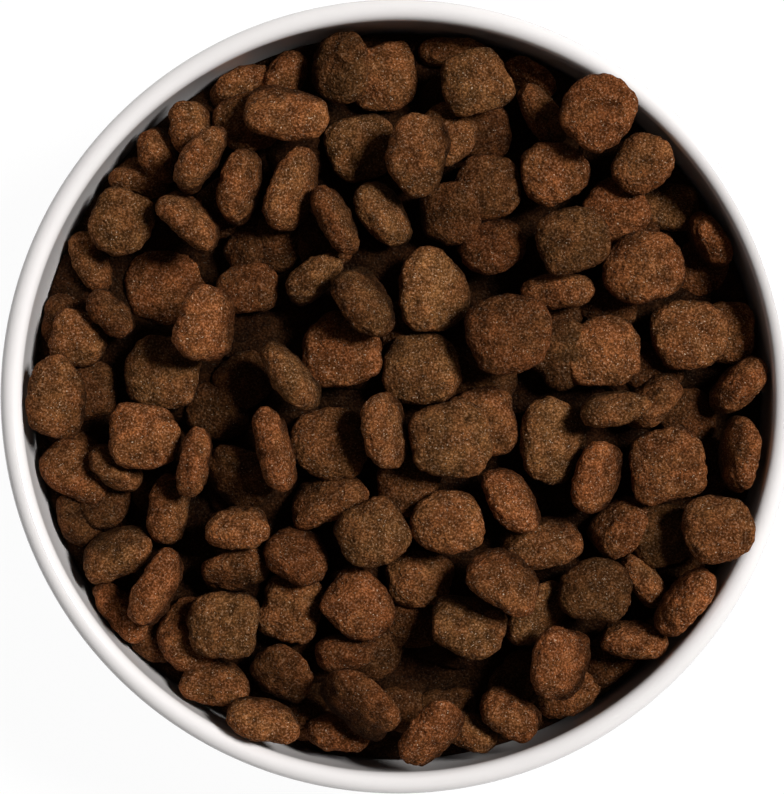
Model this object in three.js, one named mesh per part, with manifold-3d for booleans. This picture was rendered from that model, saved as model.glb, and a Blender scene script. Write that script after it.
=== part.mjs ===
// A round glazed bowl heaped with dry pet food.
// Millimetres, +Z up, origin at the middle of the face that the foot ring stands on.
// The bowl is one turned piece. Each kibble of the top layer is a piece of its own,
// and the kibbles under them are fused into one solid that fills the bowl.

import * as THREE from 'three';
import * as BufferGeometryUtils from 'three/addons/utils/BufferGeometryUtils.js';
import Module from 'manifold-3d';

const wasm = await Module();
wasm.setup();

// Sizes of the bowl
const rimDiameter = 140;
const bowlHeight = 52;
const lipThickness = 3.8;
const wallAtFoot = 4.6;
const footDiameter = 84;
const footRingWidth = 4.5;
const footRingHeight = 2.6;
const footEdgeRound = 0.8;

// Sizes of the food: a typical kibble, and the low dome of the heap.
// The highest fused kibbles end on that dome, which meets the wall a little under the lip.
const kibbleWidth = 12.9;
const kibbleThickness = 6;
const fillDepthAtWall = 5.5;
const heapCrown = 4.5;

// How far under the dome the fused kibbles of each layer end, in thicknesses of a kibble
const deepLayer = 0.85;
const strewnLayer = 1.2;
const coreLayer = 1.6;

// Room left between pieces that touch, how deep fused kibbles at least sink into one another,
// and the smallest step that the fused filling keeps
const clearance = 0.3;
const fusedDepth = 1;
const facetDetail = 0.2;

const rimRadius = rimDiameter / 2;
const footRadius = footDiameter / 2;
const innerFootRadius = footRadius - footRingWidth;

const glaze = new THREE.MeshStandardMaterial({ color: 0xf4f2ef, roughness: 0.12, metalness: 0 });
const fusedFood = new THREE.MeshStandardMaterial({ color: 0x4a3220, roughness: 0.95, metalness: 0 });
const foodColours = [0x7a5334, 0x6b4a2c, 0x83573a, 0x5f4628, 0x755031];

// The bowl's wall, drawn in a plane of radius and height.
// Its outside is one curve that leaves the foot almost level and ends upright under the lip.
const lipRadius = lipThickness / 2;
const levelShare = 0.72;
const levelClimb = 1.2;
const uprightShare = 0.7;
const wallRise = bowlHeight - footRingHeight;
const outerWall = new THREE.CubicBezierCurve(
  new THREE.Vector2(footRadius, footRingHeight),
  new THREE.Vector2(THREE.MathUtils.lerp(footRadius, rimRadius, levelShare), footRingHeight + levelClimb),
  new THREE.Vector2(rimRadius, bowlHeight - uprightShare * wallRise),
  new THREE.Vector2(rimRadius, bowlHeight - lipRadius),
);

// A point of the inside: square to the outside, one wall thickness in.
// The wall thins evenly from the foot up to the lip.
function innerWallPoint(share, extra = 0) {
  const outside = outerWall.getPoint(share);
  const along = outerWall.getTangent(share);
  const thickness = THREE.MathUtils.lerp(wallAtFoot, lipThickness, share) + extra;
  return new THREE.Vector2(outside.x - along.y * thickness, outside.y + along.x * thickness);
}

// The inside from the axis out to the lip, or a like surface that stands `extra` off it
const wallSteps = 8;

function innerWallPoints(extra = 0, topHeight = Infinity) {
  const points = [new THREE.Vector2(0, footRingHeight + wallAtFoot + extra)];
  for (let step = 0; step <= wallSteps; step += 1) {
    const point = innerWallPoint(step / wallSteps, extra);
    if (point.y >= topHeight) break;
    points.push(point);
  }
  return points;
}

// A closed solid turned about +Z from points of radius and height that start and end on the axis
function turned(points, segments) {
  const geometry = new THREE.LatheGeometry(points, segments);
  geometry.rotateX(Math.PI / 2);
  return geometry;
}

function bowlGeometry() {
  const foot = new THREE.Path();
  foot.moveTo(0, footRingHeight);
  foot.lineTo(innerFootRadius, footRingHeight);
  foot.lineTo(innerFootRadius, footEdgeRound);
  foot.quadraticCurveTo(innerFootRadius, 0, innerFootRadius + footEdgeRound, 0);
  foot.lineTo(footRadius - footEdgeRound, 0);
  foot.quadraticCurveTo(footRadius, 0, footRadius, footEdgeRound);
  const outside = outerWall.getPoints(wallSteps);
  const lip = new THREE.EllipseCurve(
    rimRadius - lipRadius, bowlHeight - lipRadius, lipRadius, lipRadius, 0, Math.PI, false,
  );
  const inside = innerWallPoints().reverse();
  const profile = [...foot.getPoints(2), ...outside, ...lip.getPoints(5).slice(1, -1), ...inside];
  return turned(profile, 56);
}

// Shared vertices are merged, and triangles without area are dropped, to make a solid of a geometry
function solidOf(geometry) {
  const bare = geometry.clone();
  bare.deleteAttribute('normal');
  bare.deleteAttribute('uv');
  const merged = BufferGeometryUtils.mergeVertices(bare, 1e-4);
  const corners = merged.getIndex().array;
  const kept = [];
  for (let first = 0; first < corners.length; first += 3) {
    const [a, b, c] = corners.slice(first, first + 3);
    if (a !== b && b !== c && c !== a) kept.push(a, b, c);
  }
  return new wasm.Manifold(new wasm.Mesh({
    numProp: 3,
    vertProperties: Float32Array.from(merged.getAttribute('position').array),
    triVerts: Uint32Array.from(kept),
  }));
}

function geometryOf(solid) {
  const mesh = solid.getMesh();
  const geometry = new THREE.BufferGeometry();
  geometry.setAttribute('position', new THREE.BufferAttribute(mesh.vertProperties, 3));
  geometry.setIndex(new THREE.BufferAttribute(mesh.triVerts, 1));
  return geometry;
}

function signedPower(value, power) {
  return Math.sign(value) * Math.abs(value) ** power;
}

// A kibble: a slice of extruded dough that puffed up into a pillow.
// Seen flat it is between an ellipse (squareness 2) and a rectangle, and its section is a fuller lens.
const sectionFullness = 2.35;

function pillow(length, breadth, squareness, around, rings) {
  const geometry = new THREE.SphereGeometry(1, around, rings);
  const position = geometry.getAttribute('position');
  const widestRing = rings % 2 === 0 ? 1 : Math.cos(Math.PI / 2 / rings);
  const widest = widestRing * Math.sqrt(Math.cos(Math.PI / around));
  for (let vertex = 0; vertex < position.count; vertex += 1) {
    const reach = Math.hypot(position.getX(vertex), position.getZ(vertex));
    const cosine = reach > 1e-6 ? position.getX(vertex) / reach : 0;
    const sine = reach > 1e-6 ? -position.getZ(vertex) / reach : 0;
    const spread = signedPower(reach / widest, 2 / sectionFullness) / 2;
    position.setXYZ(
      vertex,
      length * spread * signedPower(cosine, 2 / squareness),
      breadth * spread * signedPower(sine, 2 / squareness),
      kibbleThickness / 2 * signedPower(position.getY(vertex), 2 / sectionFullness),
    );
  }
  return geometry;
}

// The kibbles, looked at one by one from straight above. Each row holds
//   x, y       the middle of the kibble, in millimetres from the bowl's axis
//   long       its longer width as seen from above
//   short      its shorter width as seen from above, foreshortened where it is tipped
//   bearing    the direction of the longer width, in degrees from +X
//   tip        how far it is tipped about that width, in degrees; above 0 its top looks to the left
//   squareness of its outline, where it differs from the usual one
// The lists were drawn up for this rim and this kibble, and follow both when they change.
const surveyedRimRadius = 70.6;
const surveyedKibbleWidth = 13.4;
const surveyedKibbleThickness = 6;
const usualSquareness = 2.5;

// Kibbles of which only a corner shows, deep in the gaps between the others
const deepKibbles = [
  [-49.5, 41.5, 11, 10, 0, 10], [-31.5, 33.5, 11, 10, 30, -12], [-26.5, 27.5, 11, 9, 45, 20],
  [-13.2, 27.5, 11, 10, 0, 8], [-22, 27.5, 11, 10, 60, -10], [-61, 14, 11, 8, 80, -40],
  [-56, 1, 12, 11, 0, 10], [-53, -19, 11, 10, 20, 12], [-32.3, -2.5, 12, 11, 0, -8],
  [-27.5, 3, 11, 10, 40, 15], [-58, -22, 11, 8, 110, -40], [16.5, 2.5, 11, 10, 70, -15],
  [12.5, 4, 11, 10, 0, 8], [1.5, 12.5, 11, 10, 20, 10], [27.5, 14.5, 11, 9, 0, 25],
  [38, 16, 11, 10, 45, -10], [46, 5, 11, 10, 0, 10], [55, -12.5, 11, 10, 90, 15],
  [52, -4, 12, 11, 30, -10], [15, 47.8, 12, 11, 0, 8], [-16.5, -57.5, 11, 9, 10, 25],
  [37.8, -47.5, 11, 9, 40, 20], [1, -56, 11, 9, -20, 25], [50.5, -31, 11, 9, 60, 20],
  [2.5, -40.5, 12, 11, 0, 6], [-3.8, -46, 11, 10, 70, -15], [22.5, -51, 12, 10, 50, -20],
  [42, 28, 12, 11, 0, 8], [-46, -45, 11, 8, -45, 40], [9, -57, 11, 10, 0, 10],
];

// Kibbles that show between those of the top layer
const middleKibbles = [
  [-29, 57.5, 12, 5.2, 25, -76], [-44, 44.5, 11, 6.3, 110, -58], [-47, 39.5, 12, 5.6, -10, 80],
  [-49.5, 31.5, 12.8, 12, 60, 12], [-26.5, 49.5, 12.5, 11, 0, 15], [-58, 26, 12, 6, 110, -65],
  [-41.5, 19.8, 15.5, 14.5, 0, 8], [-21, 58.7, 11, 7.5, 60, -48], [-2.8, 57.5, 13.3, 13, 10, 6, 3.4],
  [-6.5, 45, 13, 12.4, 20, 8], [8.5, 47, 12, 11.5, 40, 12], [10.5, 62.3, 13, 5.4, -3, -78],
  [16, 37.5, 12.5, 12, 0, 8], [9.5, 32.8, 12, 11, 110, 20], [17, 27, 12.5, 10, 20, 28],
  [26, 50.5, 13, 5.5, -60, 78], [50, 35, 12, 9.5, 0, 32], [39, 33.5, 12.3, 12, 30, 8],
  [55, 24, 12, 11, 60, 12], [57.2, 28.5, 12, 5.6, -58, -76], [-26.8, 19.3, 11, 10, 0, 12],
  [-57.5, 10.5, 11, 10, 90, -20], [-51.3, 14.8, 11, 5.6, -45, 75], [-42, 4.3, 14.5, 14, 0, 6],
  [-50.8, -12.8, 11.5, 5.8, -35, 72], [-41, -20, 13, 6.8, 85, -60], [-28.3, -14.5, 13.5, 10, -40, -38],
  [15, -4.5, 14, 13, 0, 8], [2, -15.8, 12.5, 12, 0, 8], [-12.5, -18.3, 14.5, 8, 25, 52],
  [29.3, 7.8, 12.5, 12, 30, -10], [36.8, 8, 14, 13.4, 0, 6], [59.5, 11.3, 11.5, 10.5, 90, 18],
  [45.7, -0.8, 13, 6.5, 42, 62], [-50, -38.8, 13, 5.2, -50, 78], [-36.5, -43, 13.5, 12.5, -40, 10],
  [-32.8, -51.3, 13, 8.5, -10, 45], [-11, -60.5, 12, 5.6, -8, 75], [-9.5, -45.8, 11, 5.8, 0, 70],
  [4, -32.5, 12.5, 11, 0, 10], [25.3, -39, 14, 8.5, 50, -50], [44, -32.7, 12.5, 5.4, -55, 76],
  [13.2, -60, 11, 5.8, -20, 68], [47.3, -24.5, 13, 12, 20, 8], [31.5, -53, 14, 10, 35, 34],
  [25.5, -26.3, 15.5, 9, 8, 46], [-20.5, -49.5, 12, 9.5, -35, -32], [-29.2, -31, 13, 7.2, 12, -52],
  [-59, -13, 14, 12, -35, 14], [24, 58, 11, 5.8, -33, -68], [40, -23.5, 12.5, 9, 40, 38],
  [4.2, 4.8, 14, 13.4, 0, 6], [-12.2, -8.5, 14.2, 13.6, 0, 6],
];

// The top layer, each kibble a piece of its own
const topKibbles = [
  [-37, 50.5, 11, 7.5, 100, -46], [-37.3, 31.3, 14, 6.3, -42, 66], [-33, 40.5, 13.5, 5.7, 56, -74],
  [-26.5, 38.8, 14, 6.5, 78, -64], [-20, 50.3, 15.5, 10, -5, 42], [-19, 37, 15.5, 8.5, 72, -53],
  [-11.8, 60, 13, 11, 90, 25], [3.5, 43, 15, 11.5, 80, -33], [14, 55.8, 12.8, 12.4, 20, 6, 3.4],
  [-9, 32.8, 14, 5.6, -62, 80], [-3, 32.7, 13.5, 8, -58, 52], [35.6, 50.4, 14, 13.4, 40, 8],
  [44.8, 42.4, 12, 10.6, 45, 12], [28, 39.8, 12.8, 12.4, 0, 8], [31, 27.5, 13, 12.4, 10, 6, 3.4],
  [43.8, 23, 14.8, 14, 0, 6], [-60.7, -0.2, 15, 11, 88, -25], [-34, 13, 13.7, 10.9, 80, -36],
  [-45.2, -7.2, 13.5, 13, 0, 6], [-35.9, -11.3, 13, 5.5, 80, -82], [-15, 21, 12.5, 6.2, 38, -66],
  [-5.3, 17.3, 14.5, 9, -52, 50], [-10, 8.2, 15.3, 14.6, 0, 6], [-19, 3.8, 14.5, 5.9, -50, 72],
  [6.5, 19.2, 15.8, 13.2, 100, -18], [-2.3, -5.8, 14.8, 7.8, 95, -56],
  [9.5, -7.7, 15.5, 14.8, 0, 6], [19.6, 11.3, 15.7, 15, 20, 8], [-21.9, -9.5, 15.3, 5.8, 105, -74],
  [56.7, -23.5, 13.5, 12.6, 0, 12], [28.3, 18.8, 13.5, 5.7, 0, 76], [52.3, 11.2, 14.8, 14, 0, 7],
  [61, 2, 12.5, 5.8, 45, 74], [60.1, -9.2, 14.2, 6.2, 88, 66], [48, -11.5, 14.3, 13.8, 10, 6, 3.2],
  [38.5, -2.2, 13, 5.9, 12, 72], [27.7, -7.8, 15.5, 12.8, 80, -20], [35.5, -14.3, 13.8, 8.9, 75, -48],
  [-28.4, -23.3, 11.8, 7.2, 0, 50], [-16.7, -26.8, 12.5, 9.5, -30, 36], [-49.8, -27.8, 13.8, 8, 28, 50],
  [-43, -34.3, 14.8, 5.9, 67, -72], [-31, -40.7, 12.6, 12.2, 0, 6, 3.6],
  [-19.3, -38, 12.8, 12.4, 75, 6, 3.2], [-7, -37.3, 14, 12.5, -40, 10], [-24, -57.5, 14, 6.5, -18, 65],
  [-6.8, -54.8, 16, 9.5, -42, -50], [-4.5, -24.5, 13.6, 13, 20, 6], [9.8, -22, 13, 12.2, 0, 10],
  [21.4, -18.4, 14, 8.5, -55, 50], [18, -32.3, 14.5, 10.5, -30, 38], [12.8, -40.8, 14.5, 11, -15, 30],
  [35.4, -34.6, 13.6, 12.2, 0, 8], [51.7, -36.5, 13.5, 6.2, 52, 66], [42.5, -43.9, 12.6, 6.2, -5, 66],
  [28.8, -47.3, 14, 10.5, 75, -38], [5.8, -59.6, 14, 9, 48, -46], [21.7, -57.6, 12, 8.5, -35, 45],
];

// The filling under them: kibbles strewn along a spiral that covers the heap evenly.
// Their bearings and tips step through their ranges, so that no two neighbours lie alike.
const strewnKibbles = 40;
const strewnReach = 58;
const strewnLong = 13;
const strewnShort = 12;
const goldenTurn = 180 * (3 - Math.sqrt(5));
const bearingStep = 77;
const tipStep = 31;
const largestTip = 25;

function strewnRows() {
  const rows = [];
  for (let count = 0; count < strewnKibbles; count += 1) {
    const reach = strewnReach * Math.sqrt((count + 0.5) / strewnKibbles);
    const angle = THREE.MathUtils.degToRad(count * goldenTurn);
    const bearing = (count * bearingStep) % 180;
    const tip = ((count * tipStep) % (2 * largestTip)) - largestTip;
    rows.push([reach * Math.cos(angle), reach * Math.sin(angle), strewnLong, strewnShort, bearing, tip]);
  }
  return rows;
}

// The true breadth of a tipped kibble, from the breadth seen from above
function trueBreadth(long, short, tip) {
  const edge = surveyedKibbleThickness * Math.sin(tip);
  const face = Math.sqrt(Math.max(short ** 2 - edge ** 2, 0)) / Math.cos(tip);
  return THREE.MathUtils.clamp(face, 0.78 * long, long);
}

// A kibble from a row of the lists, as a mesh over its place at height 0
function kibbleFrom([x, y, long, short, bearing, tip, squareness = usualSquareness], around, rings) {
  const tipAngle = THREE.MathUtils.degToRad(tip);
  const size = kibbleWidth / surveyedKibbleWidth;
  const spread = rimRadius / surveyedRimRadius;
  const breadth = trueBreadth(long, short, tipAngle);
  const kibble = new THREE.Mesh(pillow(long * size, breadth * size, squareness, around, rings));
  kibble.position.set(x * spread, y * spread, 0);
  kibble.rotation.set(-tipAngle, 0, THREE.MathUtils.degToRad(bearing), 'ZXY');
  kibble.updateMatrix();
  return kibble;
}

// Heights are kept on a square grid of columns that stand on the plane z = 0
// and reach one kibble past the rim
const columnWidth = 0.4;
const columnsFromAxis = Math.ceil((rimRadius + kibbleWidth) / columnWidth);
const columnsAcross = 2 * columnsFromAxis + 1;

function columnAt(across, up) {
  return (up + columnsFromAxis) * columnsAcross + across + columnsFromAxis;
}

// The lowest and the highest point of a geometry in each column that it covers
function columnsOf(geometry) {
  const position = geometry.getAttribute('position');
  const corners = geometry.getIndex().array;
  const columns = new Map();
  const a = new THREE.Vector3();
  const b = new THREE.Vector3();
  const c = new THREE.Vector3();
  for (let first = 0; first < corners.length; first += 3) {
    a.fromBufferAttribute(position, corners[first]);
    b.fromBufferAttribute(position, corners[first + 1]);
    c.fromBufferAttribute(position, corners[first + 2]);
    const area = (b.x - a.x) * (c.y - a.y) - (b.y - a.y) * (c.x - a.x);
    if (Math.abs(area) < 1e-9) continue;
    const left = Math.ceil(Math.min(a.x, b.x, c.x) / columnWidth);
    const right = Math.floor(Math.max(a.x, b.x, c.x) / columnWidth);
    const bottom = Math.ceil(Math.min(a.y, b.y, c.y) / columnWidth);
    const top = Math.floor(Math.max(a.y, b.y, c.y) / columnWidth);
    for (let up = bottom; up <= top; up += 1) {
      for (let across = left; across <= right; across += 1) {
        const x = across * columnWidth;
        const y = up * columnWidth;
        const shareB = ((x - a.x) * (c.y - a.y) - (y - a.y) * (c.x - a.x)) / area;
        const shareC = ((b.x - a.x) * (y - a.y) - (b.y - a.y) * (x - a.x)) / area;
        if (shareB < -1e-9 || shareC < -1e-9 || shareB + shareC > 1 + 1e-9) continue;
        const height = a.z + shareB * (b.z - a.z) + shareC * (c.z - a.z);
        const column = columnAt(across, up);
        const known = columns.get(column);
        if (known === undefined) {
          columns.set(column, [height, height]);
        } else {
          known[0] = Math.min(known[0], height);
          known[1] = Math.max(known[1], height);
        }
      }
    }
  }
  return columns;
}

// The tops of whatever lies in the bowl so far, each spread to the columns around it
class Ground {
  constructor() {
    this.heights = new Float64Array(columnsAcross ** 2).fill(-Infinity);
  }

  add(columns, rise = 0, shift = 0) {
    for (const [column, [, high]] of columns) {
      for (let up = -1; up <= 1; up += 1) {
        for (let across = -1; across <= 1; across += 1) {
          const near = column + shift + up * columnsAcross + across;
          this.heights[near] = Math.max(this.heights[near], high + rise);
        }
      }
    }
  }

  // How far a piece has to rise to lie on this ground
  riseFor(columns, shift) {
    let rise = -Infinity;
    for (const [column, [low]] of columns) {
      rise = Math.max(rise, this.heights[column + shift] - low);
    }
    return rise;
  }
}

const bowlGround = new Ground();
const heapGround = new Ground();

// The places that a kibble may slide to, nearest first, in columns
function slides(reach) {
  const places = [];
  for (let up = -reach; up <= reach; up += 1) {
    for (let across = -reach; across <= reach; across += 1) places.push([across, up]);
  }
  return places.sort((one, other) => Math.hypot(...one) - Math.hypot(...other));
}

// The lowest rest close to a kibble's place, on the heap or on the bowl's lip
const topSlides = slides(6);
const costOfSlide = 0.9;

function restOf({ kibble, columns }) {
  let best = { cost: Infinity };
  for (const [across, up] of topSlides) {
    const shift = up * columnsAcross + across;
    const rise = Math.max(bowlGround.riseFor(columns, shift), heapGround.riseFor(columns, shift));
    const cost = rise + costOfSlide * Math.hypot(across, up);
    if (cost < best.cost) best = { kibble, columns, cost, rise, shift, across, up };
  }
  return best;
}

// Lays separate kibbles on the heap. The one that comes to rest lowest is always the next.
function layAll(kibbles) {
  let waiting = kibbles.map((kibble) => {
    const columns = columnsOf(kibble.geometry.clone().applyMatrix4(kibble.matrix));
    return { kibble, columns };
  });
  while (waiting.length > 0) {
    const rests = waiting.map(restOf);
    const next = rests.reduce((one, other) => (other.rise < one.rise ? other : one));
    const { kibble } = next;
    const height = next.rise + clearance;
    heapGround.add(next.columns, height, next.shift);
    kibble.position.x += next.across * columnWidth;
    kibble.position.y += next.up * columnWidth;
    kibble.position.z = height;
    waiting = waiting.filter((other) => other.kibble !== kibble);
  }
}

// The dome of the heap at a distance from the axis
function domeHeight(reach) {
  return bowlHeight - fillDepthAtWall + heapCrown * (1 - (reach / rimRadius) ** 2);
}

// Sets a kibble into the fused filling: its highest point is a depth under the dome,
// or it sinks into what lies under it, whichever is lower.
// Where it would touch the wall it moves towards the axis.
function embed(kibble, depth) {
  const columns = columnsOf(kibble.geometry.clone().applyMatrix4(kibble.matrix));
  const highest = Math.max(...Array.from(columns.values(), ([, high]) => high));
  const { x, y } = kibble.position;
  const reach = Math.hypot(x, y);
  let spot;
  for (let inward = 0; spot === undefined; inward += 1) {
    const across = Math.round(-inward * x / reach);
    const up = Math.round(-inward * y / reach);
    const shift = up * columnsAcross + across;
    const level = domeHeight(reach - inward * columnWidth) - depth - highest;
    const height = Math.min(level, heapGround.riseFor(columns, shift) - fusedDepth);
    if (height >= bowlGround.riseFor(columns, shift) + clearance) spot = { across, up, shift, height };
  }
  heapGround.add(columns, spot.height, spot.shift);
  kibble.position.set(x + spot.across * columnWidth, y + spot.up * columnWidth, spot.height);
  kibble.updateMatrix();
  return solidOf(kibble.geometry.clone().applyMatrix4(kibble.matrix));
}

// The middle of the filling follows the bowl's inside, and its top is a low dome
function fillingCore() {
  const depth = coreLayer * kibbleThickness;
  const sides = innerWallPoints(clearance, domeHeight(rimRadius) - depth);
  const edge = sides.at(-1).x;
  const dome = [];
  for (let step = 0; step <= 4; step += 1) {
    const reach = edge * (1 - step / 4);
    dome.push(new THREE.Vector2(reach, domeHeight(reach) - depth));
  }
  return turned([...sides, ...dome], 36);
}

function fillingGeometry() {
  const core = fillingCore();
  heapGround.add(columnsOf(core));
  const solids = [solidOf(core)];
  const layers = [
    { rows: strewnRows(), depth: strewnLayer, around: 6, rings: 3 },
    { rows: deepKibbles, depth: deepLayer, around: 6, rings: 3 },
    { rows: middleKibbles, depth: 0, around: 8, rings: 4 },
  ];
  for (const { rows, depth, around, rings } of layers) {
    for (const row of rows) {
      solids.push(embed(kibbleFrom(row, around, rings), depth * kibbleThickness));
    }
  }
  const pieces = wasm.Manifold.union(solids).simplify(facetDetail).decompose();
  pieces.sort((one, other) => other.volume() - one.volume());
  return geometryOf(pieces[0]);
}

const part = new THREE.Group();

const bowl = new THREE.Mesh(bowlGeometry(), glaze);
bowl.name = 'bowl';
part.add(bowl);
bowlGround.add(columnsOf(bowl.geometry));

const filling = new THREE.Mesh(fillingGeometry(), fusedFood);
filling.name = 'kibble_bed';
part.add(filling);

const kibbles = topKibbles.map((row, place) => {
  const kibble = kibbleFrom(row, 10, 5);
  kibble.name = `kibble_${String(place + 1).padStart(2, '0')}`;
  const color = foodColours[place % foodColours.length];
  kibble.material = new THREE.MeshStandardMaterial({ color, roughness: 0.95, metalness: 0 });
  return kibble;
});
layAll(kibbles);
part.add(...kibbles);

export default part;
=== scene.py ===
# %% [markdown]
# # A bowl of dry pet food
# This scene dresses the solid model of a round white bowl that is heaped with brown kibble.
# It goes in steps: the frame, the bowl, one kibble, all the kibbles, their finishes, the light
# and the camera. Every shape is worked out with numpy as whole arrays and then put into a mesh,
# so that a reader can change a number and see what it does.

from itertools import product

import bpy
import numpy as np
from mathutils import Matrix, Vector
from mathutils.bvhtree import BVHTree


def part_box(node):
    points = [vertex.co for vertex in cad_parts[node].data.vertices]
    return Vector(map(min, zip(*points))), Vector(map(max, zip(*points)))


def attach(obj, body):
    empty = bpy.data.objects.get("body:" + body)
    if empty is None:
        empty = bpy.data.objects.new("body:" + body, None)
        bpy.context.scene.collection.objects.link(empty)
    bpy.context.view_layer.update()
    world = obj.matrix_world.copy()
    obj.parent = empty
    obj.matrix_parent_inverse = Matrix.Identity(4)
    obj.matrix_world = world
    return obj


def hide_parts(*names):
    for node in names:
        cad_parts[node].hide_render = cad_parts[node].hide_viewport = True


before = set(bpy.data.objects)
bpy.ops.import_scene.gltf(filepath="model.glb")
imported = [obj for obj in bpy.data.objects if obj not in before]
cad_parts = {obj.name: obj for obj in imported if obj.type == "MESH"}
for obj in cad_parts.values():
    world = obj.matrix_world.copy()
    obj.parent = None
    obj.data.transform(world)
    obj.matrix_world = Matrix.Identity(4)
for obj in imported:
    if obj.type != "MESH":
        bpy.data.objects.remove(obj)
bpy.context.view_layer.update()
MM = 0.001
print("solids in the frame:", len(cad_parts))

# %% [markdown]
# ## From arrays to a mesh
# A mesh is a list of points and a list of faces. Blender could take them one by one, but it is
# much quicker to hand over whole arrays. Triangles and quads come as separate arrays of corner
# numbers, and both go into the same mesh. Every piece then stands for its solid and rides on
# the one body of this part, because nothing here moves.


# %% Pieces from arrays
def add_piece(name, points, face_arrays, stands_for, material):
    """Makes one smooth piece. Points are rows of x, y, z in metres. Each face array holds rows
    of corner numbers, seen in turn against the clock from outside."""
    mesh = bpy.data.meshes.new(name)
    mesh.vertices.add(len(points))
    mesh.vertices.foreach_set("co", np.ascontiguousarray(points, dtype=np.float32).ravel())
    corners = np.concatenate([faces.ravel() for faces in face_arrays])
    widths = np.concatenate([np.full(len(faces), faces.shape[1]) for faces in face_arrays])
    mesh.loops.add(len(corners))
    mesh.loops.foreach_set("vertex_index", corners.astype(np.int32))
    mesh.polygons.add(len(widths))
    starts = np.cumsum(widths) - widths
    mesh.polygons.foreach_set("loop_start", starts.astype(np.int32))
    mesh.update(calc_edges=True)
    mesh.shade_smooth()
    mesh.materials.append(material)
    piece = bpy.data.objects.new(name, mesh)
    bpy.context.scene.collection.objects.link(piece)
    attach(piece, "root")
    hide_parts(stands_for)
    return piece


# %% [markdown]
# ## Building a material
# Both finishes are made of the same few shader nodes: noise, a change of range and a mix of two
# colours. These helpers keep the recipes short, so that each finish reads as a list of steps.


# %% Shader helpers
def new_material(name):
    """An empty material and its node tree"""
    material = bpy.data.materials.new(name)
    material.use_nodes = True
    material.node_tree.nodes.clear()
    return material, material.node_tree


def add_node(tree, kind, inputs=None, **settings):
    """A node with its settings, and with its sockets set to a value or linked to another socket"""
    node = tree.nodes.new(kind)
    for name, value in settings.items():
        setattr(node, name, value)
    for name, value in (inputs or {}).items():
        if isinstance(value, bpy.types.NodeSocket):
            tree.links.new(value, node.inputs[name])
        else:
            node.inputs[name].default_value = value
    return node


def noise(tree, place, wavelength, detail=2.0):
    """Grey noise of about the given wavelength in metres"""
    inputs = {"Vector": place, "Scale": 1 / wavelength, "Detail": detail}
    return add_node(tree, "ShaderNodeTexNoise", inputs).outputs[0]


def change_range(tree, value, low, high, new_low, new_high):
    """Moves a value from one range to another and holds it there"""
    inputs = {"Value": value, "From Min": low, "From Max": high, "To Min": new_low, "To Max": new_high}
    return add_node(tree, "ShaderNodeMapRange", inputs).outputs[0]


def mix_colours(tree, share, first, second, way="MIX"):
    """The first colour, mixed with a share of the second one"""
    inputs = {0: share, 6: first, 7: second}
    return add_node(tree, "ShaderNodeMix", inputs, data_type="RGBA", blend_type=way).outputs[2]


def combine(tree, operation, first, second):
    """Two numbers, combined"""
    return add_node(tree, "ShaderNodeMath", {0: first, 1: second}, operation=operation).outputs[0]


def finish_material(tree, shader):
    """Links the shader to the material's output"""
    add_node(tree, "ShaderNodeOutputMaterial", {"Surface": shader})


# %% [markdown]
# ## The glaze
# The bowl is stoneware under a glossy glaze, white with a trace of warmth. The foot ring's
# lowest face is wiped clean before firing, because glaze would stick to the kiln shelf, so it
# stays matt and a little darker. One material does both, told apart by the height above the
# table. The glaze isn't a perfect mirror: a long, shallow bump makes its reflections waver.


# %% White glaze
GLAZE_WHITE = (0.93, 0.89, 0.873, 1)
BARE_CLAY = (0.62, 0.57, 0.49, 1)
GLAZE_ROUGHNESS = 0.14
BARE_ROUGHNESS = 0.75
GLAZE_IOR = 1.5
WIPED_HEIGHT = 0.35 * MM
WIPED_EDGE = (0.7, 1.3)
CLOUD = 22 * MM
CLOUD_MIDDLE = (0.35, 0.65)
CLOUD_SHADE = 0.97
WAVER = 9 * MM
WAVER_DEPTH = 0.1 * MM
WAVER_STRENGTH = 0.25


def glaze_material():
    """Glossy glaze, and bare clay where it was wiped off"""
    material, tree = new_material("white glaze")
    place = add_node(tree, "ShaderNodeTexCoord").outputs["Object"]
    height = add_node(tree, "ShaderNodeSeparateXYZ", {0: place}).outputs["Z"]
    edge_below, edge_above = (WIPED_HEIGHT * share for share in WIPED_EDGE)
    glazed = change_range(tree, height, edge_below, edge_above, 0, 1)
    cloudy = change_range(tree, noise(tree, place, CLOUD), *CLOUD_MIDDLE, CLOUD_SHADE, 1)
    white = mix_colours(tree, 1.0, GLAZE_WHITE, cloudy, "MULTIPLY")
    colour = mix_colours(tree, glazed, BARE_CLAY, white)
    roughness = change_range(tree, glazed, 0, 1, BARE_ROUGHNESS, GLAZE_ROUGHNESS)
    waver = add_node(
        tree,
        "ShaderNodeBump",
        {
            "Height": noise(tree, place, WAVER, detail=0.0),
            "Strength": WAVER_STRENGTH,
            "Distance": WAVER_DEPTH,
        },
    )
    inputs = {"Base Color": colour, "Roughness": roughness, "IOR": GLAZE_IOR, "Normal": waver.outputs[0]}
    finish_material(tree, add_node(tree, "ShaderNodeBsdfPrincipled", inputs).outputs[0])
    return material


white_glaze = glaze_material()
print("finish:", white_glaze.name)

# %% [markdown]
# ## The bowl's profile
# A potter turns a bowl, so one profile says it all. It runs from the axis under the bowl,
# round the foot ring, up the outside, over the lip and down the inside back to the axis.
# The outside is one curve of four control points. It leaves the foot almost level and stands
# upright under the lip. The inside stands one wall thickness off it, and the wall thins towards the lip.
# It could also be made by a Screw modifier, but the same arrays are needed later on, to keep
# the kibbles inside the wall.

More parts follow.
